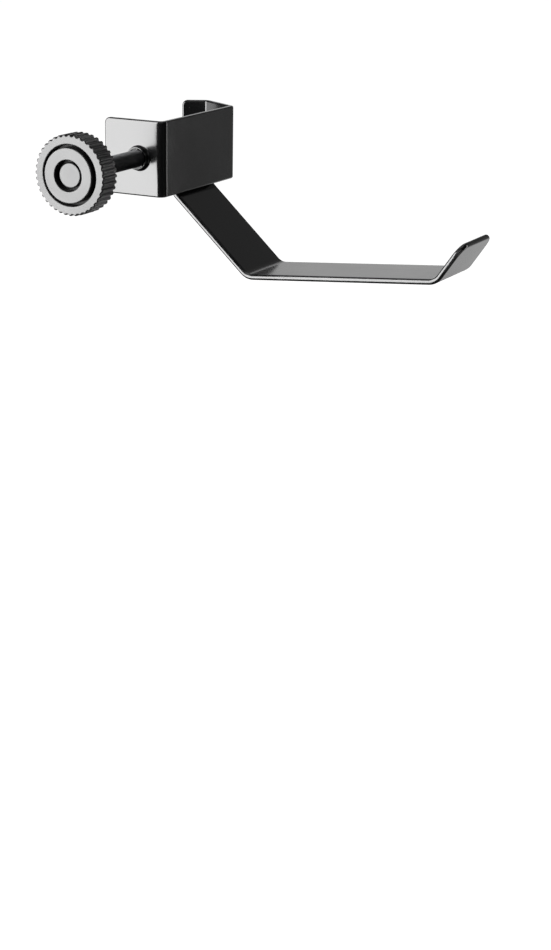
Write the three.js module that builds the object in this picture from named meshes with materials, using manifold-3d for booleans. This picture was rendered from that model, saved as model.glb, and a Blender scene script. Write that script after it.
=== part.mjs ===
// Headphone hook for a post: a bent-steel clamp with a V jaw and a hand screw, and a bent-steel arm welded
// inside the clamp's side wall. Millimetres, +Z up. The origin is on the axis of the post, where the V jaw
// seats it, at the clamp's mid-height. The arm reaches out along +X. The screw pushes along +Y.
import * as THREE from 'three';
import { mergeVertices } from 'three/addons/utils/BufferGeometryUtils.js';
import Module from 'manifold-3d';

const DEGREE = Math.PI / 180;

// The gap left between pieces that touch, and how far a cutter runs past what it cuts.
const contactGap = 0.3;
const cutMargin = 1;

// How finely round shapes are divided.
const bendStep = 9 * DEGREE;
const cornerSteps = 8;
const weldSteps = 5;
const ballSteps = 12;
const knobSegments = 80;
const roundSegments = 64;
const smallSegments = 40;
const pointsPerTooth = 6;

// The post that the clamp is made for, and the V jaw that seats it. The post stands clear of the arm's root.
const postDiameter = 20;
const postSideClearance = 1.5;
const jawSlope = 30 * DEGREE;
const jawToFreeEdge = 8;

// The clamp's strip.
const clampHeight = 26.4;
const clampLength = 50.9;
const clampSheet = 2;
const clampBendInside = 0.8;
const clampCornerRadius = 2;

// The threaded collar drawn out of the front plate.
const collarWall = 1.2;
const collarHeight = 2;

// The screw's axis: the gap between its pad and the side wall, and its height over the clamp's mid-height.
const padSideClearance = 1.3;
const screwRise = 0.1;

// The arm's strip. Slopes are from the horizontal.
const armWidth = 27;
const armSheet = 2;
const armShift = 1.1;
const rootOverlap = 8;
const rootDrop = 0.7;
const legLength = 39.5;
const legSlope = 42.3 * DEGREE;
const shelfLength = 71.9;
const shelfSlope = 5 * DEGREE;
const tipLength = 16.1;
const tipSlope = 55.5 * DEGREE;
const rootBendInside = 1.5;
const armBendInside = 4.3;
const tipCornerRadius = 5;
const rootCornerRadius = 1;

// The fillet welds.
const weldSize = 1.6;
const weldBulge = 0.72;
const weldEndMargin = 1.5;

// The screw.
const screwDiameter = 6;
const screwLength = 60;
const screwStandoff = 35.9;
const threadClearance = 0.3;
const screwHeadAcrossFlats = 10;
const screwHeadHeight = 4;
const screwEndChamfer = 0.8;
const ballDiameter = 5;
const neckDiameter = 3.2;

// The knob.
const knobDiameter = 27;
const knobThickness = 8.4;
const knobTeeth = 40;
const toothDepth = 0.6;
const knobChamfer = 0.7;
const hubDiameter = 14;
const hubHeight = 4;
const rimWidth = 3.25;
const recessDepth = 3.2;

// The knob's cap.
const capGap = 1;
const capRise = 0.9;
const capEdge = 0.4;
const capFloor = 0.4;
const capGrooveWidth = 1.15;
const capGrooveDepth = 3.2;
const capDiscDiameter = 8.2;
const capDiscDrop = 1.15;

// The pressure pad. It grips the ball past the ball's middle.
const padDiameter = 13;
const padFace = 1.2;
const padGrip = 2;
const padChamfer = 0.8;

// Places worked out from the sizes above.
const postRadius = postDiameter / 2;
const jawToWall = postRadius + postSideClearance + armSheet + contactGap + clampSheet;
const screwToWall = clampSheet + padSideClearance + padDiameter / 2;
const collarDiameter = screwDiameter + 2 * collarWall;
const recessDiameter = knobDiameter - 2 * rimWidth;
const capDiameter = recessDiameter - 2 * capGap;
const capGrooveOuter = capDiscDiameter + 2 * capGrooveWidth;
const jawInside = postRadius / Math.cos(jawSlope);
const jawOutside = jawInside + clampSheet / Math.cos(jawSlope);
const jawCornerY = jawOutside - jawToWall * Math.tan(jawSlope);
const plateOuterY = jawCornerY - clampLength;
const screwX = jawToWall - screwToWall;
const ballRadius = ballDiameter / 2;
const socketRadius = ballRadius + contactGap;
const ballFromPadFace = padFace + socketRadius;
const padDepth = ballFromPadFace + padGrip;
const knobBackY = plateOuterY - screwStandoff;
const ballY = knobBackY + screwLength;
const padFaceY = ballY + ballFromPadFace;
const armX = jawToWall - clampSheet - contactGap - armSheet / 2;
const wallMidY = (plateOuterY + jawCornerY) / 2;
const armMidY = wallMidY + armShift;
const rootTopZ = -clampHeight / 2 + rootOverlap;
const rootBendZ = -clampHeight / 2 - rootDrop;

const wasm = await Module();
wasm.setup();

// Solids: closed three.js geometry to and from manifold-3d, which joins and cuts.

function toSolid(geometry) {
  const flat = geometry.index ? geometry.toNonIndexed() : geometry.clone();
  flat.deleteAttribute('normal');
  flat.deleteAttribute('uv');
  const merged = mergeVertices(flat, 1e-4);
  return new wasm.Manifold(
    new wasm.Mesh({
      numProp: 3,
      vertProperties: merged.attributes.position.array,
      triVerts: new Uint32Array(merged.index.array),
    }),
  );
}

function toGeometry(solid) {
  const mesh = solid.getMesh();
  const geometry = new THREE.BufferGeometry();
  geometry.setAttribute('position', new THREE.BufferAttribute(mesh.vertProperties, 3));
  geometry.setIndex(new THREE.BufferAttribute(mesh.triVerts, 1));
  geometry.computeVertexNormals();
  return geometry;
}

// The outline of a strip bent along a line of corners, each corner rounded to the same inside radius.
function stripOutline(corners, sheet, insideRadii) {
  const middle = [{ point: corners[0], normal: sideOf(corners[0], corners[1]) }];
  for (let i = 1; i < corners.length - 1; i += 1) {
    middle.push(...bendPoints(corners[i - 1], corners[i], corners[i + 1], insideRadii[i - 1] + sheet / 2));
  }
  const last = corners.length - 1;
  middle.push({ point: corners[last], normal: sideOf(corners[last - 1], corners[last]) });
  const offset = (side) =>
    middle.map(({ point, normal }) => point.clone().addScaledVector(normal, (side * sheet) / 2));
  return new THREE.Shape([...offset(1), ...offset(-1).reverse()]);
}

function sideOf(from, to) {
  const along = to.clone().sub(from).normalize();
  return new THREE.Vector2(-along.y, along.x);
}

// The points of one bend on the strip's middle line.
function bendPoints(before, corner, after, radius) {
  const into = corner.clone().sub(before).normalize();
  const out = after.clone().sub(corner).normalize();
  const turn = Math.atan2(into.cross(out), into.dot(out));
  const tangent = radius * Math.tan(Math.abs(turn) / 2);
  const start = corner.clone().addScaledVector(into, -tangent);
  const towardCentre = new THREE.Vector2(-into.y, into.x).multiplyScalar(Math.sign(turn));
  const centre = start.clone().addScaledVector(towardCentre, radius);
  const steps = Math.ceil(Math.abs(turn) / bendStep);
  const points = [];
  for (let i = 0; i <= steps; i += 1) {
    const angle = (turn * i) / steps;
    const arm = start.clone().sub(centre).rotateAround(new THREE.Vector2(), angle);
    const normal = new THREE.Vector2(-into.y, into.x).rotateAround(new THREE.Vector2(), angle);
    points.push({ point: centre.clone().add(arm), normal });
  }
  return points;
}

// A cutter that rounds both free corners of a flat strip end. The end's middle is at `end`, the strip runs
// out along `along`, and `across` is the direction of its width.
function endCornerCutter(end, along, across, width, radius, sheet) {
  const half = width / 2;
  const cutters = [1, -1].map((side) => {
    const shape = new THREE.Shape();
    shape.moveTo(-radius, side * half);
    shape.absarc(-radius, side * (half - radius), radius, (side * Math.PI) / 2, 0, side > 0);
    shape.lineTo(cutMargin, side * (half - radius));
    shape.lineTo(cutMargin, side * (half + cutMargin));
    shape.lineTo(-radius, side * (half + cutMargin));
    const depth = sheet + 2 * cutMargin;
    const settings = { depth, bevelEnabled: false, curveSegments: cornerSteps };
    const geometry = new THREE.ExtrudeGeometry(shape, settings);
    geometry.translate(0, 0, -depth / 2);
    const facing = new THREE.Vector3().crossVectors(along, across);
    geometry.applyMatrix4(new THREE.Matrix4().makeBasis(along, across, facing).setPosition(end));
    return toSolid(geometry);
  });
  return cutters[0].add(cutters[1]);
}

// A closed turned shape about the Y axis, from [radius, y] pairs that start and end on the axis.
function turned(profile, segments) {
  return new THREE.LatheGeometry(profile.map(([r, y]) => new THREE.Vector2(r, y)), segments);
}

function cylinderAlongY(diameter, fromY, toY, segments) {
  const geometry = new THREE.CylinderGeometry(diameter / 2, diameter / 2, toY - fromY, segments);
  return geometry.translate(0, (fromY + toY) / 2, 0);
}

function hexagonAlongY(acrossFlats, fromY, toY) {
  return cylinderAlongY(acrossFlats / Math.cos(30 * DEGREE), fromY, toY, 6);
}

function piece(name, geometry, material) {
  const mesh = new THREE.Mesh(geometry, new THREE.MeshStandardMaterial(material));
  mesh.name = name;
  return mesh;
}

const coatedSteel = { color: 0x0c0c0d, roughness: 0.28, metalness: 0.35 };
const blackedSteel = { color: 0x1a1a1b, roughness: 0.4, metalness: 0.9 };
const mouldedPlastic = { color: 0x121213, roughness: 0.38, metalness: 0 };
const softPlastic = { color: 0x191919, roughness: 0.6, metalness: 0 };

// The clamp: plate, side wall and V jaw in plan, raised to the clamp's height.
function clampBracket() {
  const half = clampSheet / 2;
  const plateY = plateOuterY + half;
  const wallX = jawToWall - half;
  const jawY = jawInside + half / Math.cos(jawSlope);
  const jawAt = (x) => jawY - Math.abs(x) * Math.tan(jawSlope);
  const corners = [
    new THREE.Vector2(-jawToFreeEdge, plateY),
    new THREE.Vector2(wallX, plateY),
    new THREE.Vector2(wallX, jawAt(wallX)),
    new THREE.Vector2(0, jawY),
    new THREE.Vector2(-jawToFreeEdge, jawAt(jawToFreeEdge)),
  ];
  const outline = stripOutline(corners, clampSheet, [clampBendInside, clampBendInside, clampBendInside]);
  const body = new THREE.ExtrudeGeometry(outline, { depth: clampHeight, bevelEnabled: false });
  body.translate(0, 0, -clampHeight / 2);

  const up = new THREE.Vector3(0, 0, 1);
  const plateEnd = new THREE.Vector3(corners[0].x, corners[0].y, 0);
  const plateAlong = new THREE.Vector3(-1, 0, 0);
  const jawEnd = new THREE.Vector3(corners[4].x, corners[4].y, 0);
  const jawAlong = new THREE.Vector3(-Math.cos(jawSlope), -Math.sin(jawSlope), 0);
  const plateCorners = endCornerCutter(plateEnd, plateAlong, up, clampHeight, clampCornerRadius, clampSheet);
  const jawCorners = endCornerCutter(jawEnd, jawAlong, up, clampHeight, clampCornerRadius, clampSheet);

  const collarEndY = plateOuterY - collarHeight;
  const plateInnerY = plateOuterY + clampSheet;
  const holeDiameter = screwDiameter + 2 * threadClearance;
  const collar = cylinderAlongY(collarDiameter, collarEndY, plateY, roundSegments);
  const hole = cylinderAlongY(holeDiameter, collarEndY - cutMargin, plateInnerY + cutMargin, roundSegments);
  collar.translate(screwX, 0, screwRise);
  hole.translate(screwX, 0, screwRise);
  const solid = toSolid(body)
    .subtract(plateCorners)
    .subtract(jawCorners)
    .add(toSolid(collar))
    .subtract(toSolid(hole));
  return piece('clamp_bracket', toGeometry(solid), coatedSteel);
}

// The corners of the arm's middle line, seen from the side as (x, z).
function armCorners() {
  const step = (from, length, slope) =>
    new THREE.Vector2(from.x + length * Math.cos(slope), from.y + length * Math.sin(slope));
  const rootTop = new THREE.Vector2(armX, rootTopZ);
  const rootBend = new THREE.Vector2(armX, rootBendZ);
  const legEnd = step(rootBend, legLength, -legSlope);
  const shelfEnd = step(legEnd, shelfLength, shelfSlope);
  const tipEnd = step(shelfEnd, tipLength, tipSlope);
  return [rootTop, rootBend, legEnd, shelfEnd, tipEnd];
}

// The arm: its side view extruded across its width, then its free corners rounded.
function hookArm() {
  const corners = armCorners();
  const outline = stripOutline(corners, armSheet, [rootBendInside, armBendInside, armBendInside]);
  const body = new THREE.ExtrudeGeometry(outline, { depth: armWidth, bevelEnabled: false });
  body.rotateX(Math.PI / 2);
  body.translate(0, armMidY + armWidth / 2, 0);

  const across = new THREE.Vector3(0, 1, 0);
  const tipEnd = new THREE.Vector3(corners[4].x, armMidY, corners[4].y);
  const tipAlong = new THREE.Vector3(Math.cos(tipSlope), 0, Math.sin(tipSlope));
  const rootEnd = new THREE.Vector3(corners[0].x, armMidY, corners[0].y);
  const rootAlong = new THREE.Vector3(0, 0, 1);
  const solid = toSolid(body)
    .subtract(endCornerCutter(tipEnd, tipAlong, across, armWidth, tipCornerRadius, armSheet))
    .subtract(endCornerCutter(rootEnd, rootAlong, across, armWidth, rootCornerRadius, armSheet));
  return piece('hook_arm', toGeometry(solid), coatedSteel);
}

// A fillet weld of the given length along its own +Z, in the corner between two faces at x = 0 and y = 0.
function weldBead(name, length) {
  const shape = new THREE.Shape();
  shape.moveTo(0, 0);
  shape.lineTo(weldSize, 0);
  shape.quadraticCurveTo(weldSize * weldBulge, weldSize * weldBulge, 0, weldSize);
  const settings = { depth: length, bevelEnabled: false, curveSegments: weldSteps };
  const body = new THREE.ExtrudeGeometry(shape, settings);
  return piece(name, body.translate(0, 0, -length / 2), coatedSteel);
}

// The three beads round the arm's root, in the corner between its edges and the side wall's inner face.
function weldBeads() {
  const wallInsideX = jawToWall - clampSheet - contactGap;
  const top = weldBead('weld_bead_top', armWidth - 2 * weldEndMargin);
  const sideLength = rootOverlap - weldEndMargin - rootCornerRadius;
  const sideMidZ = rootTopZ - rootCornerRadius - sideLength / 2;
  const near = weldBead('weld_bead_near', sideLength);
  const far = weldBead('weld_bead_far', sideLength);
  const edge = armWidth / 2 + contactGap;
  orient(top, [-1, 0, 0], [0, 0, 1], [wallInsideX, armMidY, rootTopZ + contactGap]);
  orient(near, [0, -1, 0], [-1, 0, 0], [wallInsideX, armMidY - edge, sideMidZ]);
  orient(far, [-1, 0, 0], [0, 1, 0], [wallInsideX, armMidY + edge, sideMidZ]);
  return [top, near, far];
}

// Turns a piece so that its own x and y axes point along the two given directions.
function orient(mesh, xDirection, yDirection, place) {
  const x = new THREE.Vector3(...xDirection);
  const y = new THREE.Vector3(...yDirection);
  const z = new THREE.Vector3().crossVectors(x, y);
  mesh.quaternion.setFromRotationMatrix(new THREE.Matrix4().makeBasis(x, y, z));
  mesh.position.set(...place);
}

// The screw, turned about Y, with y = 0 at the knob's back face.
function clampScrew() {
  const radius = screwDiameter / 2;
  const neck = neckDiameter / 2;
  const headY = recessDepth - knobThickness + contactGap;
  const shankEnd = screwLength + ballFromPadFace - padDepth - 2 * contactGap;
  const ballStart = Math.PI - Math.asin(neck / ballRadius);
  const profile = [
    [0, headY],
    [radius, headY],
    [radius, shankEnd - screwEndChamfer],
    [radius - screwEndChamfer, shankEnd],
    [neck, shankEnd],
  ];
  for (let i = 0; i <= ballSteps; i += 1) {
    const angle = ballStart * (1 - i / ballSteps);
    profile.push([ballRadius * Math.sin(angle), screwLength + ballRadius * Math.cos(angle)]);
  }
  profile[profile.length - 1][0] = 0;
  const head = hexagonAlongY(screwHeadAcrossFlats, headY, headY + screwHeadHeight);
  const solid = toSolid(turned(profile, smallSegments)).add(toSolid(head));
  return piece('clamp_screw', toGeometry(solid), blackedSteel);
}

// The knurled outline of the knob: rounded teeth evenly round its rim.
function knurlShape() {
  const points = [];
  const count = knobTeeth * pointsPerTooth;
  const middle = (knobDiameter - toothDepth) / 2;
  for (let i = 0; i < count; i += 1) {
    const angle = (2 * Math.PI * i) / count;
    const wave = Math.cos(knobTeeth * angle);
    const radius = middle + (toothDepth / 2) * Math.sign(wave) * Math.sqrt(Math.abs(wave));
    points.push(new THREE.Vector2(radius * Math.cos(angle), radius * Math.sin(angle)));
  }
  return new THREE.Shape(points);
}

// The knob, with y = 0 at its back face and its front towards -Y.
function knobBody() {
  const front = -knobThickness;
  const rim = knobDiameter / 2;
  const grip = new THREE.ExtrudeGeometry(knurlShape(), { depth: knobThickness, bevelEnabled: false });
  grip.rotateX(Math.PI / 2);
  const envelope = turned(
    [
      [0, front],
      [rim - knobChamfer, front],
      [rim, front + knobChamfer],
      [rim, -knobChamfer],
      [rim - knobChamfer, 0],
      [0, 0],
    ],
    knobSegments,
  );
  const pocketEnd = front + recessDepth + screwHeadHeight + 2 * contactGap;
  const hub = cylinderAlongY(hubDiameter, front / 2, hubHeight, roundSegments);
  const recess = cylinderAlongY(recessDiameter, front - cutMargin, front + recessDepth, roundSegments);
  const pocket = hexagonAlongY(screwHeadAcrossFlats + 2 * contactGap, front, pocketEnd);
  const bore = cylinderAlongY(screwDiameter + 2 * contactGap, front, hubHeight + cutMargin, smallSegments);
  const solid = toSolid(grip)
    .intersect(toSolid(envelope))
    .add(toSolid(hub))
    .subtract(toSolid(recess))
    .subtract(toSolid(pocket))
    .subtract(toSolid(bore));
  return piece('knob_body', toGeometry(solid), mouldedPlastic);
}

// The cap over the screw's head: a raised ring, a groove and a sunk centre disc.
function knobCap() {
  const back = -knobThickness + recessDepth - contactGap;
  const top = -knobThickness - capRise;
  const rim = capDiameter / 2;
  const discTop = top + capDiscDrop;
  const grooveFloor = Math.min(top + capGrooveDepth, back - capFloor);
  const profile = [
    [0, discTop],
    [capDiscDiameter / 2, discTop],
    [capDiscDiameter / 2, grooveFloor],
    [capGrooveOuter / 2, grooveFloor],
    [capGrooveOuter / 2, top],
    [rim - capEdge, top],
    [rim, top + capEdge],
    [rim, back],
    [0, back],
  ];
  return piece('knob_cap', toGeometry(toSolid(turned(profile, roundSegments))), mouldedPlastic);
}

// The pad, turned about Y, with y = 0 at the ball's centre and its face towards +Y.
function pressurePad() {
  const face = ballFromPadFace;
  const back = face - padDepth;
  const rim = padDiameter / 2;
  const mouthAngle = Math.acos(back / socketRadius);
  const profile = [];
  for (let i = 0; i <= ballSteps; i += 1) {
    const angle = (mouthAngle * i) / ballSteps;
    profile.push([socketRadius * Math.sin(angle), socketRadius * Math.cos(angle)]);
  }
  profile[0][0] = 0;
  profile.push([rim - padChamfer, back]);
  profile.push([rim, back + padChamfer]);
  profile.push([rim, face - padChamfer]);
  profile.push([rim - padChamfer, face]);
  profile.push([0, face]);
  return piece('pressure_pad', toGeometry(toSolid(turned(profile, smallSegments))), softPlastic);
}

const screwGroup = new THREE.Group();
screwGroup.position.set(screwX, knobBackY, screwRise);
screwGroup.add(clampScrew(), knobBody(), knobCap());

const pad = pressurePad();
pad.position.set(screwX, ballY, screwRise);

const hook = new THREE.Group();
hook.add(clampBracket(), hookArm(), ...weldBeads(), screwGroup, pad);

export default hook;
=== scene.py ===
import math

import bmesh
import bpy
from mathutils import Matrix, Vector


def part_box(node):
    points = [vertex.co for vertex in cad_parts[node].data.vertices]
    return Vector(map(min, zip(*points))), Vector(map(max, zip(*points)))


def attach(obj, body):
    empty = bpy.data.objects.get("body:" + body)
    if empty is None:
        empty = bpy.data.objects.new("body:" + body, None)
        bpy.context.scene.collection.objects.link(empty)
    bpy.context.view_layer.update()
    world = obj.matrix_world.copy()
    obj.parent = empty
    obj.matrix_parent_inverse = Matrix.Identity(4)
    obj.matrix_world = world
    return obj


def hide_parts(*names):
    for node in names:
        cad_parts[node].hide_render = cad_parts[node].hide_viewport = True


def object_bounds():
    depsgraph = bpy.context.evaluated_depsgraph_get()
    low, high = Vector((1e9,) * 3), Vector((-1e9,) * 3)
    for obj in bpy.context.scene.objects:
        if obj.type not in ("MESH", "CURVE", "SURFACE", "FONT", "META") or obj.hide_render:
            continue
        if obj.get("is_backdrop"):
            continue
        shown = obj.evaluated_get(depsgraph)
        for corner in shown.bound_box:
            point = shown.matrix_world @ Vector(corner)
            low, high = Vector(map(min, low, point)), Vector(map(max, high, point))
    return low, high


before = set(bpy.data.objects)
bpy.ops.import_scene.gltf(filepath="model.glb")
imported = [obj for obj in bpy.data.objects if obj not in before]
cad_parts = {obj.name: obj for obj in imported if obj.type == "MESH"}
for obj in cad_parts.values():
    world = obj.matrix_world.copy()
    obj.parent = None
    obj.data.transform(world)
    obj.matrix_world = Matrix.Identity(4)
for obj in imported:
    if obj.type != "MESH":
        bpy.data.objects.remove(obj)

MM = 0.001
DEGREE = math.pi / 180

# Rounds and shading. A flat has its own points FLAT_GUARD away from the rounds beside it, so it shades flat.
BEND_STEP = 5 * DEGREE
ROUND_STEP = 18 * DEGREE
EDGE_STEPS = 8
CORNER_STEPS = 10
BALL_STEPS = 16
FLAT_GUARD = 0.25
FLAT_GUARD_SHARE = 0.3
SHARP_ANGLE = 38 * DEGREE
MERGE_DISTANCE = 1e-8
TINY = 1e-6

# Sheet metal.
SHEET = 2.0

# The clamp.
POST_RADIUS = 10.0
JAW_SLOPE = 30 * DEGREE
CLAMP_FREE_EDGE = 8.0
CLAMP_BEND_INSIDE = 0.8
CLAMP_CORNER_ROUND = 2.0
CLAMP_EDGE_ROUND = 0.65
COLLAR_RADIUS = 4.05
COLLAR_HEIGHT = 2.0
COLLAR_FILLET = 0.7
COLLAR_LIP_ROUND = 0.4
COLLAR_FLAT = 1.0
HOLE_RADIUS = 3.3
HOLE_EDGE_ROUND = 0.3
HOLE_FLAT = 1.2
HOLE_BAY = 6.0
HOLE_POINTS = 64

# The arm. Slopes are from the horizontal.
LEG_LENGTH, LEG_SLOPE = 39.5, 42.3 * DEGREE
SHELF_LENGTH, SHELF_SLOPE = 71.9, 5 * DEGREE
TIP_LENGTH, TIP_SLOPE = 16.1, 55.5 * DEGREE
ROOT_DROP = 0.7
ROOT_BEND_INSIDE = 1.5
ARM_BEND_INSIDE = 4.3
ROOT_CORNER_ROUND = 1.2
TIP_CORNER_ROUND = 5.0
ARM_EDGE_ROUND = 0.9

# The weld beads.
BEAD_RADIUS = 1.15
BEAD_SINK = 0.35
RIPPLE_PITCH = 0.9
RIPPLE_DEPTH = 0.12
RIPPLE_SHAPE = 0.6
RIPPLE_WOBBLE_PER_METRE = 400.0
BEAD_END_SHARE = 0.3
BEAD_BLUNT_SHARE = 0.06
BEAD_BLUNT_START = 0.12
BEAD_STATIONS = 220
BEAD_SEGMENTS = 28
BEAD_SEEDS = {"weld_bead_top": 3.0, "weld_bead_near": 10.0, "weld_bead_far": 17.0}

# The screw.
SCREW_RADIUS = 3.0
THREAD_CORE_RADIUS = 2.42
THREAD_PITCH = 1.0
THREAD_STEPS = 40
SCREW_HEAD_ACROSS_FLATS = 10.0
SCREW_HEAD_TURN = 30 * DEGREE
SCREW_HEAD_CORNER_RADIUS = SCREW_HEAD_ACROSS_FLATS / 2 / math.cos(SCREW_HEAD_TURN)
SCREW_HEAD_HEIGHT = 4.0
SCREW_HEAD_CHAMFER = 0.5
SCREW_HEAD_TOP_SHARE = 0.93
SCREW_END_CHAMFER = 0.8
SCREW_END_ROUND = 0.3
SHANK_END = 5.0
SHANK_TAPER = 0.6
SHANK_EASE = 0.05
THREAD_OVERLAP = 0.1

# The thread's ridge: widths at foot and crest as shares of the pitch, how far its foot sinks into the core
# as a share of its depth, the turns over which it swells at each end, and the share it starts from.
RIDGE_FOOT = 0.86
RIDGE_CREST = 0.14
RIDGE_SINK = 0.03
RIDGE_RAMP = 0.7
RIDGE_START = 0.05

# The screw's inner end.
NECK_RADIUS = 1.6
NECK_ROUND = 0.2
BALL_RADIUS = 2.5
SCREW_SEGMENTS = 48

# The knob and its cap.
KNOB_THICKNESS = 8.4
KNOB_EDGE_ROUND = 0.6
KNURL_TEETH = 40
KNURL_DEPTH = 0.6
KNURL_FADE = 1.0
KNURL_LAND = 0.75
POINTS_PER_TOOTH = 12
HUB_RADIUS = 7.0
HUB_FILLET = 0.8
HUB_EDGE_ROUND = 0.5
BORE_EDGE_ROUND = 0.3
BORE_SHOULDER = 0.5
POCKET_EDGE_ROUND = 0.2
RECESS_RADIUS = 10.25
RECESS_DEPTH = 3.2
RECESS_FLOOR_ROUND = 0.3
RECESS_EDGE_ROUND = 0.35
CAP_RADIUS = 9.25
CAP_EDGE_ROUND = 0.4
CAP_BACK_ROUND = 0.2
CAP_FLOOR = 0.4
CAP_GROOVE_RADIUS = 5.25
CAP_GROOVE_DEPTH = 3.2
CAP_GROOVE_EDGE_ROUND = 0.3
CAP_GROOVE_FLOOR_ROUND = 0.15
CAP_DISC_RADIUS = 4.1
CAP_DISC_DROP = 1.15
CAP_DISC_EDGE_ROUND = 0.3
CAP_SEGMENTS = 128
GROOVE_WALL_MARGIN = 0.1
GROOVE_SHADE_DEPTH = 0.3

# The pressure pad.
PAD_FACE = 1.2
PAD_EDGE_ROUND = 0.8
PAD_SEGMENTS = 72

# Room between pieces that are made separately.
GAP = 0.3

# Most of a noise texture's values lie between these.
NOISE_RANGE = (0.3, 0.7)

# The studio and the camera, in metres and degrees. A softbox is (azimuth, elevation, distance, width, height,
# radiance); azimuth 0 is towards -Y and 90 towards +X.
SOFTBOXES = {
    "key_softbox": (-37, 5, 0.9, 0.8, 1.2, 15.0),
    "rim_softbox": (134, 0, 1.3, 0.14, 1.6, 6.0),
    "right_back_softbox": (160, -8, 1.3, 0.9, 1.1, 0.21),
    "high_back_softbox": (176, 34, 1.3, 1.2, 0.8, 0.12),
    "left_back_softbox": (214, 8, 1.3, 0.9, 0.7, 0.7),
    "low_back_softbox": (180, -36, 1.2, 1.2, 0.7, 0.6),
    "low_right_softbox": (92, -29, 1.2, 0.9, 0.55, 0.9),
    "top_softbox": (60, 84, 1.2, 0.9, 0.9, 0.8),
    "high_front_softbox": (45, 26, 1.2, 0.9, 0.35, 0.9),
    "high_left_softbox": (210, 62, 1.2, 1.0, 0.7, 0.7),
}
SURROUND = (0.03, 0.03, 0.03, 1.0)
FLOOR_SIZE = 16
FLOOR_HEIGHT = -0.42
BACKDROP_RADIUS = 6
CAMERA_TARGET = (0.04410, -0.01312, -0.11805)
CAMERA_AZIMUTH = 27.37
CAMERA_ELEVATION = 17.38
CAMERA_DISTANCE = 0.7868
CAMERA_ROLL = 0.0154
CAMERA_LENS = 80.9


# ---------------------------------------------------------------- meshes

def make_object(name, points, faces, edge=None):
    """A closed, smooth mesh object from points in millimetres, with its faces turned outwards."""
    mesh = bpy.data.meshes.new(name)
    mesh.from_pydata([Vector(p) * MM for p in points], [], faces)
    if edge is not None:
        mesh.attributes.new("edge", "FLOAT", "POINT").data.foreach_set("value", edge)
    obj = bpy.data.objects.new(name, mesh)
    bpy.context.scene.collection.objects.link(obj)
    finish_mesh(mesh)
    return obj


def finish_mesh(mesh):
    """Merges doubled points, turns the faces outwards and shades smoothly up to the real corners."""
    work = bmesh.new()
    work.from_mesh(mesh)
    bmesh.ops.remove_doubles(work, verts=work.verts, dist=MERGE_DISTANCE)
    bmesh.ops.recalc_face_normals(work, faces=work.faces)
    work.to_mesh(mesh)
    work.free()
    mesh.shade_smooth()
    mesh.set_sharp_from_angle(angle=SHARP_ANGLE)


def join_mesh(obj, other):
    """Adds the other object's mesh to obj's and removes the other object."""
    work = bmesh.new()
    work.from_mesh(obj.data)
    work.from_mesh(other.data)
    work.to_mesh(obj.data)
    work.free()
    bpy.data.objects.remove(other)


def rounded_profile(corners):
    """A turned part's outline with its corners rounded.

    Each corner is (radius, height, round). A point on each side of a round keeps the flats shaded flat.
    """
    points = []
    for i, (r, y, rounding) in enumerate(corners):
        here = Vector((r, y))
        if rounding == 0 or i in (0, len(corners) - 1):
            points.append(here)
            continue
        into = here - Vector(corners[i - 1][:2])
        out = Vector(corners[i + 1][:2]) - here
        room = min(into.length, out.length)
        into.normalize()
        out.normalize()
        turn = math.atan2(into.cross(out), into.dot(out))
        tangent = rounding * math.tan(abs(turn) / 2)
        guard = min(FLAT_GUARD, max(0, room - tangent) * FLAT_GUARD_SHARE)
        start = here - into * tangent
        sideways = Vector((-into.y, into.x)) * math.copysign(rounding, turn)
        centre = start + sideways
        steps = max(3, math.ceil(abs(turn) / ROUND_STEP))
        points.append(start - into * guard)
        for step in range(steps + 1):
            spoke = Matrix.Rotation(turn * step / steps, 2) @ (start - centre)
            points.append(centre + spoke)
        points.append(here + out * (tangent + guard))
    return points


def turn_profile(name, profile, axis, base, segments, phase=0.0):
    """Turns an outline of (radius, height) about a line along Y through axis (x, z).

    Outlines that start and end on the line close at a point; others are closed into a ring.
    """
    points, rings = [], []
    for r, y in profile:
        count = 1 if r < TINY else segments
        rings.append(range(len(points), len(points) + count))
        for i in range(count):
            angle = 2 * math.pi * i / segments + phase
            points.append((axis[0] + r * math.cos(angle), base + y, axis[1] + r * math.sin(angle)))
    pairs = list(zip(rings, rings[1:]))
    if len(rings[0]) > 1:
        pairs.append((rings[-1], rings[0]))
    faces = []
    for low, high in pairs:
        for i in range(segments):
            j = (i + 1) % segments
            corners = [low[i % len(low)], low[j % len(low)], high[j % len(high)], high[i % len(high)]]
            face = list(dict.fromkeys(corners))
            if len(face) > 2:
                faces.append(face)
    return make_object(name, points, faces)


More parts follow.
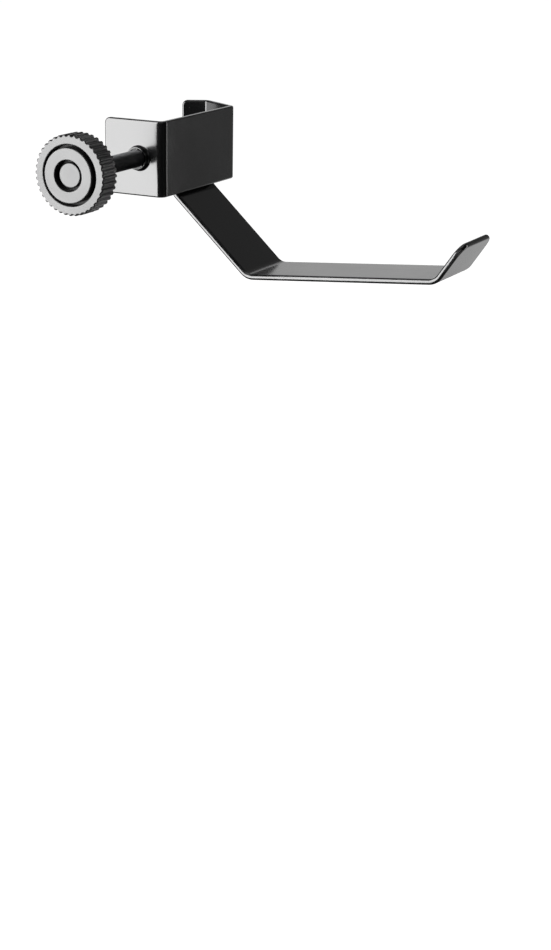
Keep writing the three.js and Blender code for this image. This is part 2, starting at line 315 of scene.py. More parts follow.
class BentLine:
    """The middle line of a bent strip in its side view: straight runs joined by round bends."""

    def __init__(self, corners, radii):
        self.runs = []
        self.length = 0.0
        start, heading = corners[0], (corners[1] - corners[0]).normalized()
        for corner, after, radius in zip(corners[1:], corners[2:], radii):
            leaving = (after - corner).normalized()
            turn = math.atan2(heading.cross(leaving), heading.dot(leaving))
            tangent = radius * math.tan(abs(turn) / 2)
            bend_start = corner - heading * tangent
            self.add_run(start, heading, (bend_start - start).length, 0.0)
            self.add_run(bend_start, heading, radius * abs(turn), turn)
            start, heading = corner + leaving * tangent, leaving
        self.add_run(start, heading, (corners[-1] - start).length, 0.0)

    def add_run(self, start, heading, length, turn):
        """Adds a straight run, or a bend if it turns."""
        self.runs.append((self.length, start, heading, length, turn))
        self.length += length

    def at(self, distance):
        """The point at a distance along the line, and the direction to the line's left there."""
        begin, start, heading, length, turn = self.runs[0]
        for run in self.runs:
            if run[0] <= distance + TINY:
                begin, start, heading, length, turn = run
        left = Vector((-heading.y, heading.x))
        travelled = distance - begin
        if turn == 0:
            return start + heading * travelled, left
        centre = start + left * math.copysign(length / abs(turn), turn)
        part = Matrix.Rotation(turn * travelled / length, 2)
        return centre + part @ (start - centre), part @ left

    def bend_stations(self):
        """Distances that follow every bend in small steps."""
        stations = []
        for begin, _, _, length, turn in self.runs:
            if turn != 0:
                steps = math.ceil(abs(turn) / BEND_STEP)
                stations += [begin + length * i / steps for i in range(steps + 1)]
        return stations


def edge_section(rounding):
    """The strip's rounded edge from one face to the other, as (inset, height) pairs."""
    flat = SHEET / 2 - rounding
    pairs = [(rounding + FLAT_GUARD, -SHEET / 2)]
    for side in (-1, 1):
        for i in range(EDGE_STEPS + 1):
            angle = (i / EDGE_STEPS - (side < 0)) * math.pi / 2
            inset = rounding * (1 - math.cos(angle))
            pairs.append((inset, side * flat + rounding * math.sin(angle)))
    pairs.append((rounding + FLAT_GUARD, SHEET / 2))
    return pairs


def blank_side(length, width, start_round, end_round, stations, inset):
    """Half of a strip blank's outline, moved inwards by inset: (distance, half width) from end to end."""
    quarter = [math.pi / 2 * i / CORNER_STEPS for i in range(CORNER_STEPS + 1)]
    first, last = start_round - inset, end_round - inset
    side = [
        (start_round - first * math.cos(a), width / 2 - start_round + first * math.sin(a)) for a in quarter
    ]
    side += [(u, width / 2 - inset) for u in stations]
    side += [
        (length - end_round + last * math.cos(a), width / 2 - end_round + last * math.sin(a))
        for a in reversed(quarter)
    ]
    return side


class Hole:
    """A hole with a collar drawn out of a strip's lower face, centred at (distance, across)."""

    def __init__(self, distance, across):
        self.distance = distance
        self.across = across

    def stations(self):
        """Distances along the strip where the square bay round the hole starts and ends."""
        return [self.distance - HOLE_BAY, self.distance + HOLE_BAY]

    def rings(self):
        """Rings of (radius, height) from the lower face over the collar and through to the upper face."""
        low, high = -SHEET / 2, SHEET / 2
        lip = low - COLLAR_HEIGHT
        return rounded_profile([
            (COLLAR_RADIUS + COLLAR_FILLET + COLLAR_FLAT, low, 0),
            (COLLAR_RADIUS, low, COLLAR_FILLET),
            (COLLAR_RADIUS, lip, COLLAR_LIP_ROUND),
            (HOLE_RADIUS, lip, COLLAR_LIP_ROUND / 2),
            (HOLE_RADIUS, high, HOLE_EDGE_ROUND),
            (HOLE_RADIUS + HOLE_FLAT, high, 0),
        ])

    def square_point(self, i):
        """A point on the square bay round the hole, in line with the hole's own point i."""
        angle = 2 * math.pi * i / HOLE_POINTS
        reach = HOLE_BAY / max(abs(math.cos(angle)), abs(math.sin(angle)))
        return self.distance + reach * math.cos(angle), self.across + reach * math.sin(angle)


def square_side(square, first):
    """The points along one side of the square bay, from one eighth of the way round to two eighths on."""
    eighth = HOLE_POINTS // 8
    return [square[i % HOLE_POINTS] for i in range(first * eighth, (first + 2) * eighth + 1)]


def bent_strip(name, line, width, start_round, end_round, edge_round, place, hole=None):
    """A strip of sheet cut with rounded corners and edges, bent along a line.

    place turns a point of the side view and a distance across the strip into a point in space.
    """
    stations = line.bend_stations() + (hole.stations() if hole else [])
    stations.sort()
    blank, rings, edge = [], [], []
    for inset, height in edge_section(edge_round):
        side = blank_side(line.length, width, start_round, end_round, stations, inset)
        loop = side + [(u, -v) for u, v in reversed(side)]
        rings.append(range(len(blank), len(blank) + len(loop)))
        blank += [(u, v, height) for u, v in loop]
        edge += [max(0.0, 1 - inset / edge_round)] * len(loop)
    faces = ring_faces(rings)
    count = len(rings[0]) // 2
    bay = next((i for i in range(count) if hole and abs(blank[i][0] - hole.stations()[0]) < TINY), None)
    squares = []
    for ring, height in ((rings[0], -SHEET / 2), (rings[-1], SHEET / 2)):
        chains = [[ring[-1 - i], ring[i]] for i in range(count)]
        if hole:
            square = range(len(blank), len(blank) + HOLE_POINTS)
            blank += [(*hole.square_point(i), height) for i in range(HOLE_POINTS)]
            edge += [0.0] * HOLE_POINTS
            squares.append(square)
            right, top, left, bottom = [square_side(square, first) for first in (-1, 1, 3, 5)]
            low_a, high_a = chains[bay]
            low_b, high_b = chains[bay + 1]
            chains[bay] = [low_a, *reversed(left), high_a]
            chains[bay + 1] = [low_b, *right, high_b]
            faces.append([high_a, high_b, *top])
            faces.append([low_b, low_a, *bottom])
        faces += [
            [*chains[i], *reversed(chains[i + 1])] for i in range(count - 1) if not (hole and i == bay)
        ]
    if hole:
        wall = [squares[0]]
        for radius, height in hole.rings():
            wall.append(range(len(blank), len(blank) + HOLE_POINTS))
            for i in range(HOLE_POINTS):
                angle = 2 * math.pi * i / HOLE_POINTS
                u = hole.distance + radius * math.cos(angle)
                blank.append((u, hole.across + radius * math.sin(angle), height))
            edge += [0.0] * HOLE_POINTS
        faces += ring_faces([*wall, squares[1]])
    points = []
    for u, v, height in blank:
        middle, left = line.at(u)
        points.append(place(middle + left * height, v))
    return make_object(name, points, faces, edge)


def ring_faces(rings):
    """Quads that join each ring of points to the next."""
    faces = []
    for low, high in zip(rings, rings[1:]):
        for i in range(len(low)):
            j = (i + 1) % len(low)
            faces.append([low[i], low[j], high[j], high[i]])
    return faces


# ---------------------------------------------------------------- node trees

class Graph:
    """Adds nodes and links to a node tree."""

    def __init__(self, tree):
        self.tree = tree

    def put(self, socket, value):
        """Links an output to a socket, or sets the socket's own value."""
        if isinstance(value, bpy.types.NodeSocket):
            self.tree.links.new(value, socket)
        else:
            socket.default_value = value

    def node(self, kind, values=None, **settings):
        """Adds a node with its settings and its inputs, by socket name."""
        made = self.tree.nodes.new(kind)
        for name, value in settings.items():
            setattr(made, name, value)
        for name, value in (values or {}).items():
            self.put(made.inputs[name], value)
        return made

    def math(self, operation, *terms):
        """A Math node's result."""
        made = self.node("ShaderNodeMath", operation=operation)
        for socket, term in zip(made.inputs, terms):
            self.put(socket, term)
        return made.outputs[0]

    def between(self, value, low, high, to_low, to_high, smooth=False):
        """A value carried from one range to another, and clamped."""
        kind = "SMOOTHSTEP" if smooth else "LINEAR"
        values = {"Value": value, "From Min": low, "From Max": high, "To Min": to_low, "To Max": to_high}
        return self.node("ShaderNodeMapRange", values, interpolation_type=kind).outputs["Result"]


def geometry_graph(name, inputs):
    """A Geometry Nodes tree with a geometry input and output, and the named inputs with their defaults."""
    tree = bpy.data.node_groups.new(name, "GeometryNodeTree")
    tree.interface.new_socket("Geometry", in_out="INPUT", socket_type="NodeSocketGeometry")
    for label, (kind, value) in inputs.items():
        socket = tree.interface.new_socket(label, in_out="INPUT", socket_type="NodeSocket" + kind)
        if value is not None:
            socket.default_value = value
    tree.interface.new_socket("Geometry", in_out="OUTPUT", socket_type="NodeSocketGeometry")
    graph = Graph(tree)
    return graph, graph.node("NodeGroupInput").outputs


def close_graph(graph, geometry, material):
    """Ends a tree: real meshes, smooth, with the material set."""
    real = graph.node("GeometryNodeRealizeInstances", {"Geometry": geometry}).outputs[0]
    done = graph.node("GeometryNodeSetMaterial", {"Geometry": real, "Material": material}).outputs[0]
    graph.node("NodeGroupOutput", {"Geometry": done})
    return graph.tree


def run_graph(obj, tree, values):
    """Runs a tree on an object and keeps the result as its plain mesh."""
    modifier = obj.modifiers.new(tree.name, "NODES")
    modifier.node_group = tree
    for item in tree.interface.items_tree:
        if item.item_type == "SOCKET" and item.in_out == "INPUT" and item.name in values:
            modifier[item.identifier] = values[item.name]
    evaluated = obj.evaluated_get(bpy.context.evaluated_depsgraph_get())
    made = bpy.data.meshes.new_from_object(evaluated)
    obj.modifiers.remove(modifier)
    obj.data = made
    finish_mesh(made)


def knurl_tree():
    """Presses straight, rounded teeth into a round rim; they notch its faces' edges and fade out inwards."""
    graph, given = geometry_graph("knurl", {
        "Axis X": ("Float", 0.0),
        "Axis Z": ("Float", 0.0),
        "Teeth": ("Float", 40.0),
        "Depth": ("Float", 0.0006),
        "Rim Radius": ("Float", 0.013),
        "Fade": ("Float", 0.001),
        "Material": ("Material", None),
    })
    place = graph.node("GeometryNodeInputPosition").outputs[0]
    apart = graph.node("ShaderNodeSeparateXYZ", {"Vector": place}).outputs
    x = graph.math("SUBTRACT", apart[0], given["Axis X"])
    z = graph.math("SUBTRACT", apart[2], given["Axis Z"])
    radius = graph.math("SQRT", graph.math("ADD", graph.math("MULTIPLY", x, x), graph.math("MULTIPLY", z, z)))
    angle = graph.math("ARCTAN2", z, x)
    wave = graph.math("COSINE", graph.math("MULTIPLY", angle, given["Teeth"]))
    groove = graph.between(wave, -KNURL_LAND, KNURL_LAND, 1.0, 0.0, smooth=True)
    inner = graph.math("SUBTRACT", given["Rim Radius"], given["Fade"])
    reach = graph.between(radius, inner, given["Rim Radius"], 0.0, 1.0, smooth=True)
    sunk = graph.math("MULTIPLY", graph.math("MULTIPLY", groove, reach), given["Depth"])
    factor = graph.math("DIVIDE", graph.math("MULTIPLY", sunk, -1.0), graph.math("MAXIMUM", radius, TINY))
    move = graph.node("ShaderNodeCombineXYZ", {
        "X": graph.math("MULTIPLY", x, factor),
        "Z": graph.math("MULTIPLY", z, factor),
    }).outputs[0]
    moved = graph.node("GeometryNodeSetPosition", {"Geometry": given["Geometry"], "Offset": move}).outputs[0]
    return close_graph(graph, moved, given["Material"])


def thread_tree():
    """Winds a ridge round a rod as a screw thread, tapering to nothing at both ends."""
    graph, given = geometry_graph("screw_thread", {
        "Axis": ("Vector", (0.0, 0.0, 0.0)),
        "Length": ("Float", 0.04),
        "Pitch": ("Float", 0.001),
        "Core Radius": ("Float", 0.0024),
        "Crest Radius": ("Float", 0.003),
        "Material": ("Material", None),
    })
    turns = graph.math("DIVIDE", given["Length"], given["Pitch"])
    helix = graph.node("GeometryNodeCurveSpiral", {
        "Resolution": THREAD_STEPS,
        "Rotations": turns,
        "Start Radius": given["Core Radius"],
        "End Radius": given["Core Radius"],
        "Height": given["Length"],
    }).outputs[0]
    upright = graph.node("GeometryNodeSetCurveNormal", {"Curve": helix}, mode="Z_UP").outputs[0]
    part = graph.node("GeometryNodeSplineParameter").outputs["Factor"]
    from_end = graph.math("MULTIPLY", graph.math("MINIMUM", part, graph.math("SUBTRACT", 1.0, part)), turns)
    swell = graph.between(from_end, 0.0, RIDGE_RAMP, RIDGE_START, 1.0, smooth=True)
    depth = graph.math("SUBTRACT", given["Crest Radius"], given["Core Radius"])
    ridge = graph.node("GeometryNodeCurvePrimitiveQuadrilateral", {
        "Bottom Width": graph.math("MULTIPLY", given["Pitch"], RIDGE_FOOT),
        "Top Width": graph.math("MULTIPLY", given["Pitch"], RIDGE_CREST),
        "Offset": 0.0,
        "Height": depth,
    }, mode="TRAPEZOID").outputs[0]
    shift = graph.math("MULTIPLY", depth, RIDGE_SINK - 0.5)
    outwards = graph.node("ShaderNodeCombineXYZ", {"X": shift}).outputs[0]
    lying = graph.node("GeometryNodeTransform", {
        "Geometry": ridge,
        "Translation": outwards,
        "Rotation": (0.0, 0.0, math.pi / 2),
    }).outputs[0]
    wound = graph.node("GeometryNodeCurveToMesh", {
        "Curve": upright, "Profile Curve": lying, "Scale": swell, "Fill Caps": True,
    }).outputs[0]
    along = graph.node("GeometryNodeTransform", {
        "Geometry": wound,
        "Translation": given["Axis"],
        "Rotation": (-math.pi / 2, 0.0, 0.0),
    }).outputs[0]
    both = graph.node("GeometryNodeJoinGeometry")
    graph.tree.links.new(along, both.inputs[0])
    graph.tree.links.new(given["Geometry"], both.inputs[0])
    return close_graph(graph, both.outputs[0], given["Material"])


def bead_tree():
    """Lays a weld bead along a line: a round run of metal with overlapping ripples and blunt ends."""
    graph, given = geometry_graph("weld_bead", {
        "Start": ("Vector", (0.0, 0.0, 0.0)),
        "End": ("Vector", (0.0, 0.0, 0.01)),
        "Bead Radius": ("Float", 0.001),
        "Ripple Pitch": ("Float", 0.0009),
        "Ripple Depth": ("Float", 0.0001),
        "Seed": ("Float", 3.0),
        "Material": ("Material", None),
    })
    both_ends = {"Start": given["Start"], "End": given["End"]}
    run = graph.node("GeometryNodeCurvePrimitiveLine", both_ends).outputs[0]
    fine = graph.node("GeometryNodeResampleCurve", {"Curve": run, "Count": BEAD_STATIONS}).outputs[0]
    parameter = graph.node("GeometryNodeSplineParameter").outputs
    part, distance = parameter["Factor"], parameter["Length"]
    along = graph.math("ADD", graph.math("MULTIPLY", distance, RIPPLE_WOBBLE_PER_METRE), given["Seed"])
    values = {"W": along, "Scale": 1.0}
    wobble = graph.node("ShaderNodeTexNoise", values, noise_dimensions="1D").outputs[0]
    step = graph.math("ADD", graph.math("DIVIDE", distance, given["Ripple Pitch"]), wobble)
    ripple = graph.math("POWER", graph.math("FRACT", step), RIPPLE_SHAPE)
    height = graph.math("MULTIPLY", graph.math("SUBTRACT", ripple, 1.0), given["Ripple Depth"])
    blunt = graph.math("MINIMUM", part, graph.math("SUBTRACT", 1.0, part))
    ends = graph.math("SQRT", graph.between(blunt, 0.0, BEAD_BLUNT_SHARE, BEAD_BLUNT_START, 1.0))
    radius = graph.math("MULTIPLY", graph.math("ADD", given["Bead Radius"], height), ends)
    circle = {"Resolution": BEAD_SEGMENTS, "Radius": 1.0}
    section = graph.node("GeometryNodeCurvePrimitiveCircle", circle).outputs[0]
    swept = graph.node("GeometryNodeCurveToMesh", {
        "Curve": fine, "Profile Curve": section, "Scale": radius, "Fill Caps": True,
    }).outputs[0]
    return close_graph(graph, swept, given["Material"])


# ---------------------------------------------------------------- materials

def new_material(name, **values):
    """A material with one Principled shader, its constants set by socket name."""
    material = bpy.data.materials.new(name)
    material.use_nodes = True
    graph = Graph(material.node_tree)
    shader = material.node_tree.nodes["Principled BSDF"]
    for label, value in values.items():
        shader.inputs[label.replace("_", " ")].default_value = value
    return material, graph, shader


def noise(graph, scale, detail, stretch=None):
    """Noise on the object's own coordinates, in features per metre."""
    place = graph.node("ShaderNodeTexCoord").outputs["Object"]
    if stretch:
        place = graph.node("ShaderNodeMapping", {"Vector": place, "Scale": stretch}).outputs[0]
    values = {"Vector": place, "Scale": scale, "Detail": detail}
    return graph.node("ShaderNodeTexNoise", values).outputs[0]


def shade(graph, shader, tone, light_tone, blend, rough, rough_range):
    """Base colour between two greys by blend, and roughness between two values by the noise rough."""
    ramp = graph.node("ShaderNodeValToRGB", {"Fac": blend})
    ramp.color_ramp.elements[0].color = (*tone, 1.0)
    ramp.color_ramp.elements[1].color = (*light_tone, 1.0)
    graph.put(shader.inputs["Base Color"], ramp.outputs["Color"])
    graph.put(shader.inputs["Roughness"], graph.between(rough, *NOISE_RANGE, *rough_range))


def bumps(graph, shader, layers):
    """Stacks bump layers of (height, depth in metres)."""
    normal = None
    for height, depth in layers:
        values = {"Height": height, "Distance": depth, "Strength": 1.0}
        if normal is not None:
            values["Normal"] = normal
        normal = graph.node("ShaderNodeBump", values).outputs[0]
    graph.put(shader.inputs["Normal"], normal)


def powder_coat():
    """Gloss black powder coat: an orange-peel skin, slow changes of gloss, and edges rubbed lighter."""
    material, graph, shader = new_material(
        "gloss_black_powder_coat", Coat_Weight=0.1, Coat_Roughness=0.12, IOR=1.5,
    )
    edge = graph.node("ShaderNodeAttribute", attribute_name="edge").outputs["Fac"]
    rubbed = graph.math("MULTIPLY", edge, graph.between(noise(graph, 120, 4), 0.5, 0.75, 0.0, 1.0))
    cloud = noise(graph, 60, 3)
    shade(graph, shader, (0.003, 0.003, 0.0032), (0.03, 0.03, 0.031), rubbed, cloud, (0.14, 0.2))
    orange_peel = noise(graph, 420, 0)
    fine_skin = noise(graph, 2600, 1)
    bumps(graph, shader, [(orange_peel, 0.000008), (fine_skin, 0.0000005)])
    return material


def blacked_steel():
    """Black-oxide steel: dark metal with a dull, slightly streaked surface."""
    material, graph, shader = new_material("black_oxide_steel", Metallic=0.85)
    streaks = noise(graph, 900, 4, stretch=(1.0, 0.15, 1.0))
    cloud = noise(graph, 180, 3)
    shade(graph, shader, (0.016, 0.016, 0.017), (0.06, 0.06, 0.062), streaks, cloud, (0.32, 0.48))
    oxide_grain = noise(graph, 3500, 3)
    bumps(graph, shader, [(oxide_grain, 0.000003)])
    return material


def knob_plastic():
    """Moulded black plastic with a fine, even satin grain; inside the face's grooves its reflection is turned
    down as painted shade.
    """
    material, graph, shader = new_material("moulded_black_plastic", IOR=1.5)
    cloud = noise(graph, 90, 3)
    shade(graph, shader, (0.007, 0.007, 0.0072), (0.013, 0.013, 0.0135), cloud, cloud, (0.3, 0.38))
    # Painted shade: the reflection inside the face's grooves is turned down so that the grooves look shaded.
    graph.put(shader.inputs["Specular IOR Level"], graph.between(groove_shade_mask(graph), 0.0, 1.0, 0.5, 0.08))
    flow = noise(graph, 500, 1)
    grain = noise(graph, 5200, 2)
    bumps(graph, shader, [(flow, 0.000006), (grain, 0.0000022)])
    return material


def groove_shade_mask(graph):
    """The mask for the painted shade in the knob face's grooves: 1 inside the grooves, and 0 elsewhere."""
    place = graph.node("ShaderNodeTexCoord").outputs["Object"]
    apart = graph.node("ShaderNodeSeparateXYZ", {"Vector": place}).outputs
    x = graph.math("SUBTRACT", apart[0], SCREW_AXIS[0] * MM)
    z = graph.math("SUBTRACT", apart[2], SCREW_AXIS[1] * MM)
    radius = graph.math("SQRT", graph.math("ADD", graph.math("MULTIPLY", x, x), graph.math("MULTIPLY", z, z)))
    wall = RECESS_RADIUS + GROOVE_WALL_MARGIN
    disc = knob_low.y + CAP_DISC_DROP
    inside = graph.between(radius, wall * MM, (wall + GROOVE_WALL_MARGIN) * MM, 1.0, 0.0)
    start, end = disc + GROOVE_SHADE_DEPTH, disc + 2 * GROOVE_SHADE_DEPTH
    deep = graph.between(apart[1], start * MM, end * MM, 0.0, 1.0)
    return graph.math("MULTIPLY", inside, deep)


def pad_plastic():
    """Tough black plastic with a matt, slightly scuffed surface."""
    material, graph, shader = new_material("matt_black_plastic", IOR=1.47)
    scuffs = noise(graph, 700, 5)
    cloud = noise(graph, 250, 3)
    shade(graph, shader, (0.014, 0.014, 0.014), (0.034, 0.034, 0.034), scuffs, cloud, (0.5, 0.66))
    grain = noise(graph, 2600, 4)
    bumps(graph, shader, [(grain, 0.000006)])
    return material


def studio_white(name):
    """Plain, evenly lit white for the floor and the backdrop."""
    material, _, shader = new_material(name, Roughness=0.9)
    shader.inputs["Base Color"].default_value = (0.5, 0.5, 0.5, 1.0)
    shader.inputs["Emission Color"].default_value = (1.0, 1.0, 1.0, 1.0)
    shader.inputs["Emission Strength"].default_value = 1.0
    return material


# ---------------------------------------------------------------- places taken from the frame

def millimetres(node):
    """The low and high corners of a CAD node's box, in millimetres."""
    low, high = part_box(node)
    return Vector(low) / MM, Vector(high) / MM


clamp_low, clamp_high = millimetres("clamp_bracket")
arm_low, arm_high = millimetres("hook_arm")
screw_low, _ = millimetres("clamp_screw")
knob_low, knob_high = millimetres("knob_body")
cap_low, cap_high = millimetres("knob_cap")
pad_low, pad_high = millimetres("pressure_pad")

PLATE_FACE = clamp_low.y + COLLAR_HEIGHT
SCREW_AXIS = ((knob_low.x + knob_high.x) / 2, (knob_low.z + knob_high.z) / 2)
KNOB_BACK = knob_low.y + KNOB_THICKNESS
KNOB_RADIUS = (knob_high.x - knob_low.x) / 2
BALL_CENTRE = pad_high.y - PAD_FACE - GAP - BALL_RADIUS
ARM_MIDDLE = (arm_low.y + arm_high.y) / 2
WALL_INSIDE = clamp_high.x - SHEET
CAD_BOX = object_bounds()


# ---------------------------------------------------------------- pieces

def clamp_bracket(material):
    """The clamp: front plate with its collared hole, side wall, and V jaw."""
    plate = PLATE_FACE + SHEET / 2
    wall = clamp_high.x - SHEET / 2
    peak = (POST_RADIUS + SHEET / 2) / math.cos(JAW_SLOPE)
    corners = [
        Vector((-CLAMP_FREE_EDGE, plate)),
        Vector((wall, plate)),
        Vector((wall, peak - wall * math.tan(JAW_SLOPE))),
        Vector((0.0, peak)),
        Vector((-CLAMP_FREE_EDGE, peak - CLAMP_FREE_EDGE * math.tan(JAW_SLOPE))),
    ]
    line = BentLine(corners, [CLAMP_BEND_INSIDE + SHEET / 2] * 3)
    hole = Hole(SCREW_AXIS[0] + CLAMP_FREE_EDGE, SCREW_AXIS[1])
    height = clamp_high.z - clamp_low.z

    def place(point, across):
        return point.x, point.y, across

    rounds = (CLAMP_CORNER_ROUND, CLAMP_CORNER_ROUND, CLAMP_EDGE_ROUND)
    obj = bent_strip("clamp_bracket_coated", line, height, *rounds, place, hole)
    dress(obj, material, "clamp", "clamp_bracket")


def hook_arm(material):
    """The arm: welded root, sloping leg, shelf for the headband, and upturned tip."""
    def step(start, length, slope):
        """The far end of a run of the side view that rises at a slope."""
        return start + length * Vector((math.cos(slope), math.sin(slope)))

    def place(point, across):
        return point.x, ARM_MIDDLE + across, point.y

    middle = arm_low.x + SHEET / 2
    root_top = Vector((middle, arm_high.z))
    root_bend = Vector((middle, clamp_low.z - ROOT_DROP))
    leg_end = step(root_bend, LEG_LENGTH, -LEG_SLOPE)
    shelf_end = step(leg_end, SHELF_LENGTH, SHELF_SLOPE)
    tip_end = step(shelf_end, TIP_LENGTH, TIP_SLOPE)
    radii = [ROOT_BEND_INSIDE + SHEET / 2, ARM_BEND_INSIDE + SHEET / 2, ARM_BEND_INSIDE + SHEET / 2]
    line = BentLine([root_top, root_bend, leg_end, shelf_end, tip_end], radii)
    width = arm_high.y - arm_low.y
    rounds = (ROOT_CORNER_ROUND, TIP_CORNER_ROUND, ARM_EDGE_ROUND)
    obj = bent_strip("hook_arm_coated", line, width, *rounds, place)
    dress(obj, material, "clamp", "hook_arm")


def weld_beads(material):
    """Three beads round the arm's root, in the corner between its edges and the side wall."""
    tree = bead_tree()
    for node, seed in BEAD_SEEDS.items():
        low, high = millimetres(node)
        middle = (low + high) / 2
        start, end = middle.copy(), middle.copy()
        start.x = end.x = WALL_INSIDE + BEAD_SINK - BEAD_RADIUS
        if node == "weld_bead_top":
            start.y = low.y + BEAD_RADIUS * BEAD_END_SHARE
            end.y = high.y - BEAD_RADIUS * BEAD_END_SHARE
            start.z = end.z = low.z - GAP - BEAD_SINK + BEAD_RADIUS
        else:
            start.z, end.z = low.z, high.z
            inward = -1 if node == "weld_bead_near" else 1
            face = (high.y if inward < 0 else low.y) - inward * (GAP + BEAD_SINK)
            start.y = end.y = face + inward * BEAD_RADIUS
        obj = make_object(node + "_coated", [], [])
        run_graph(obj, tree, {
            "Start": start * MM, "End": end * MM, "Bead Radius": BEAD_RADIUS * MM,
            "Ripple Pitch": RIPPLE_PITCH * MM, "Ripple Depth": RIPPLE_DEPTH * MM,
            "Seed": seed, "Material": material,
        })
        dress(obj, material, "clamp", node)


def clamp_screw(material):
    """The screw: hexagon head, plain shank in the knob, rolled thread, neck and ball."""
    head = screw_low.y - KNOB_BACK
    ball = BALL_CENTRE - KNOB_BACK
    end = ball + GAP + BALL_RADIUS + PAD_FACE - (pad_high.y - pad_low.y) - 2 * GAP
    meet = math.pi - math.asin(NECK_RADIUS / BALL_RADIUS)
    rod = rounded_profile([
        (0, head, 0),
        (SCREW_RADIUS - SHANK_EASE, head, 0),
        (SCREW_RADIUS - SHANK_EASE, SHANK_END - SHANK_TAPER, 0),
        (THREAD_CORE_RADIUS, SHANK_END, 0),
        (THREAD_CORE_RADIUS, end, SCREW_END_ROUND),
        (NECK_RADIUS, end, NECK_ROUND),
        (NECK_RADIUS, ball + BALL_RADIUS * math.cos(meet), 0),
    ])
    for i in range(1, BALL_STEPS + 1):
        angle = meet * (1 - i / BALL_STEPS)
        rod.append(Vector((BALL_RADIUS * math.sin(angle), ball + BALL_RADIUS * math.cos(angle))))
    rod[-1] = Vector((0.0, ball + BALL_RADIUS))
    obj = turn_profile("clamp_screw_blacked", rod, SCREW_AXIS, KNOB_BACK, SCREW_SEGMENTS)
    hexagon = rounded_profile([
        (0, head, 0),
        (SCREW_HEAD_CORNER_RADIUS * SCREW_HEAD_TOP_SHARE, head, 0),
        (SCREW_HEAD_CORNER_RADIUS, head + SCREW_HEAD_CHAMFER, 0),
        (SCREW_HEAD_CORNER_RADIUS, head + SCREW_HEAD_HEIGHT, 0),
        (0, head + SCREW_HEAD_HEIGHT, 0),
    ])
    join_mesh(obj, turn_profile("screw_head", hexagon, SCREW_AXIS, KNOB_BACK, 6, SCREW_HEAD_TURN))
    thread_start = SHANK_END - THREAD_OVERLAP
    run_graph(obj, thread_tree(), {
        "Axis": Vector((SCREW_AXIS[0], KNOB_BACK + thread_start, SCREW_AXIS[1])) * MM,
        "Length": (end - SCREW_END_CHAMFER - thread_start) * MM, "Pitch": THREAD_PITCH * MM,
        "Core Radius": THREAD_CORE_RADIUS * MM, "Crest Radius": SCREW_RADIUS * MM, "Material": material,
    })
    dress(obj, material, "hand_screw", "clamp_screw")


def knob_body(material):
    """The knob: knurled rim, face with a recess for the cap, screw pocket, bore and back hub."""
    front = -KNOB_THICKNESS
    floor = front + RECESS_DEPTH
    pocket_end = floor + SCREW_HEAD_HEIGHT + 2 * GAP
    pocket_radius = SCREW_HEAD_CORNER_RADIUS + GAP
    hub_end = knob_high.y - KNOB_BACK
    bore = SCREW_RADIUS + GAP
    outline = rounded_profile([
        (bore, pocket_end, 0),
        (pocket_radius, pocket_end, 0),
        (pocket_radius, floor, POCKET_EDGE_ROUND),
        (RECESS_RADIUS, floor, RECESS_FLOOR_ROUND),
        (RECESS_RADIUS, front, RECESS_EDGE_ROUND),
        (KNOB_RADIUS, front, KNOB_EDGE_ROUND),
        (KNOB_RADIUS, 0, KNOB_EDGE_ROUND),
        (HUB_RADIUS, 0, HUB_FILLET),
        (HUB_RADIUS, hub_end, HUB_EDGE_ROUND),
        (bore, hub_end, BORE_EDGE_ROUND),
        (bore, pocket_end + BORE_SHOULDER, 0),
    ])
    segments = KNURL_TEETH * POINTS_PER_TOOTH
    obj = turn_profile("knob_body_moulded", outline, SCREW_AXIS, KNOB_BACK, segments)
    run_graph(obj, knurl_tree(), {
        "Axis X": SCREW_AXIS[0] * MM, "Axis Z": SCREW_AXIS[1] * MM, "Teeth": float(KNURL_TEETH),
        "Depth": KNURL_DEPTH * MM, "Rim Radius": KNOB_RADIUS * MM, "Fade": KNURL_FADE * MM,
        "Material": material,
    })
    dress(obj, material, "hand_screw", "knob_body")


def knob_cap(material):
    """The cap: a raised ring, a groove and a sunk centre disc."""
    top = cap_low.y - KNOB_BACK
    back = cap_high.y - KNOB_BACK
    disc = top + CAP_DISC_DROP
    groove = min(top + CAP_GROOVE_DEPTH, back - CAP_FLOOR)
    outline = rounded_profile([
        (0, disc, 0),
        (CAP_DISC_RADIUS, disc, CAP_DISC_EDGE_ROUND),
        (CAP_DISC_RADIUS, groove, CAP_GROOVE_FLOOR_ROUND),
        (CAP_GROOVE_RADIUS, groove, CAP_GROOVE_FLOOR_ROUND),
        (CAP_GROOVE_RADIUS, top, CAP_GROOVE_EDGE_ROUND),
        (CAP_RADIUS, top, CAP_EDGE_ROUND),
        (CAP_RADIUS, back, CAP_BACK_ROUND),
        (0, back, 0),
    ])
    obj = turn_profile("knob_cap_moulded", outline, SCREW_AXIS, KNOB_BACK, CAP_SEGMENTS)
    dress(obj, material, "hand_screw", "knob_cap")


def pressure_pad(material):
    """The pad that snaps over the screw's ball and presses on the post."""
    socket = BALL_RADIUS + GAP
    face = pad_high.y - BALL_CENTRE
    back = pad_low.y - BALL_CENTRE
    rim = (pad_high.x - pad_low.x) / 2
    mouth = math.acos(back / socket)
    angles = [mouth * i / BALL_STEPS for i in range(BALL_STEPS)]
    inside = [Vector((socket * math.sin(angle), socket * math.cos(angle))) for angle in angles]
    outside = rounded_profile([
        (socket * math.sin(mouth), back, 0),
        (rim, back, PAD_EDGE_ROUND),
        (rim, face, PAD_EDGE_ROUND),
        (0, face, 0),
    ])
    obj = turn_profile("pressure_pad_moulded", inside + outside, SCREW_AXIS, BALL_CENTRE, PAD_SEGMENTS)
    dress(obj, material, "pad", "pressure_pad")


def dress(obj, material, body, node):
    """Gives a piece its material, and puts it on its body in place of its CAD node."""
    obj.data.materials.clear()
    obj.data.materials.append(material)
    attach(obj, body)
    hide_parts(node)


# ---------------------------------------------------------------- studio

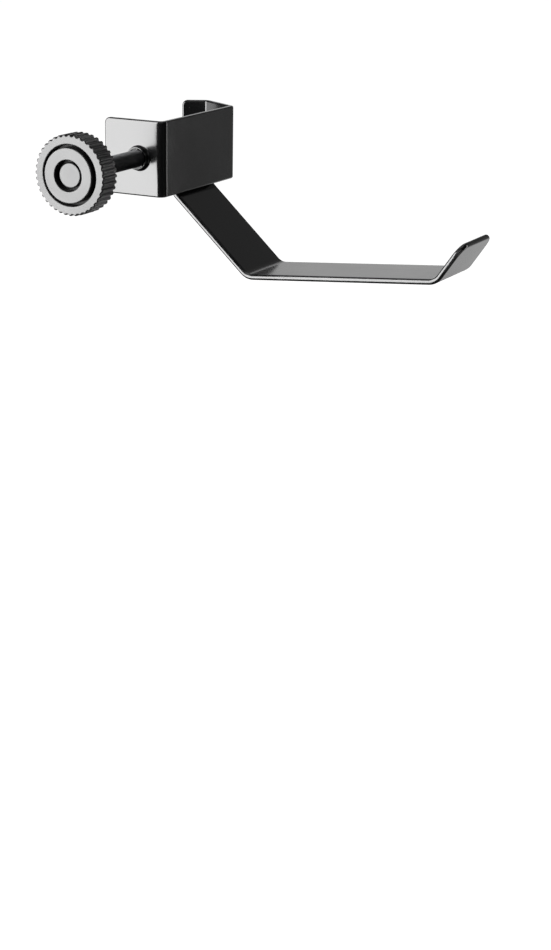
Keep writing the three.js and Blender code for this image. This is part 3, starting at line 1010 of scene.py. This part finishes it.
def direction(azimuth, elevation):
    """A unit vector; azimuth 0 points to -Y and 90 to +X."""
    a, e = azimuth * DEGREE, elevation * DEGREE
    return Vector((math.sin(a) * math.cos(e), -math.cos(a) * math.cos(e), math.sin(e)))


def softbox(name, azimuth, elevation, distance, width, height, radiance):
    """A rectangular soft light facing the hook."""
    light = bpy.data.lights.new(name, "AREA")
    light.shape = "RECTANGLE"
    light.size, light.size_y = width, height
    light.energy = radiance * math.pi * width * height
    obj = bpy.data.objects.new(name, light)
    toward = direction(azimuth, elevation)
    obj.location = toward * distance
    obj.rotation_euler = toward.to_track_quat("Z", "Y").to_euler()
    obj.visible_camera = False
    bpy.context.scene.collection.objects.link(obj)


def studio():
    """A white floor and backdrop, softboxes, and a dim surround."""
    for name, placing in SOFTBOXES.items():
        softbox(name, *placing)
    world = bpy.data.worlds.new("surround")
    world.use_nodes = True
    world.node_tree.nodes["Background"].inputs["Color"].default_value = SURROUND
    bpy.context.scene.world = world
    bpy.ops.mesh.primitive_plane_add(size=FLOOR_SIZE, location=(0, 0, FLOOR_HEIGHT))
    floor = bpy.context.active_object
    floor.name = "floor"
    floor.data.materials.append(studio_white("pale_floor"))
    bpy.ops.mesh.primitive_uv_sphere_add(segments=64, ring_count=32, radius=BACKDROP_RADIUS)
    backdrop = bpy.context.active_object
    backdrop.name = "backdrop"
    backdrop.data.materials.append(studio_white("pale_backdrop"))
    for part in (floor, backdrop):
        part.visible_glossy = False
        part.visible_diffuse = False
        part.visible_shadow = False
        part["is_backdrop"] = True


def camera():
    """A long lens a little above the hook, to its right."""
    back = direction(CAMERA_AZIMUTH, CAMERA_ELEVATION)
    right = (-back).cross(Vector((0, 0, 1))).normalized()
    up = right.cross(-back)
    x = right * math.cos(CAMERA_ROLL) + up * math.sin(CAMERA_ROLL)
    y = up * math.cos(CAMERA_ROLL) - right * math.sin(CAMERA_ROLL)
    turn = Matrix((x, y, back)).transposed()
    data = bpy.data.cameras.new("camera")
    data.lens = CAMERA_LENS
    data.sensor_width = 36.0
    data.clip_start = 0.01
    data.clip_end = 200.0
    obj = bpy.data.objects.new("camera", data)
    place = Vector(CAMERA_TARGET) + back * CAMERA_DISTANCE
    obj.matrix_world = Matrix.Translation(place) @ turn.to_4x4()
    bpy.context.scene.collection.objects.link(obj)
    bpy.context.scene.camera = obj


camera()
studio()
bpy.context.scene.view_settings.view_transform = "Standard"

coat = powder_coat()
clamp_bracket(coat)
hook_arm(coat)
weld_beads(coat)
plastic = knob_plastic()
clamp_screw(blacked_steel())
knob_body(plastic)
knob_cap(plastic)
pressure_pad(pad_plastic())

boxes = {"cad": CAD_BOX, "visual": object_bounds()}
{name: [list(corner) for corner in box] for name, box in boxes.items()}
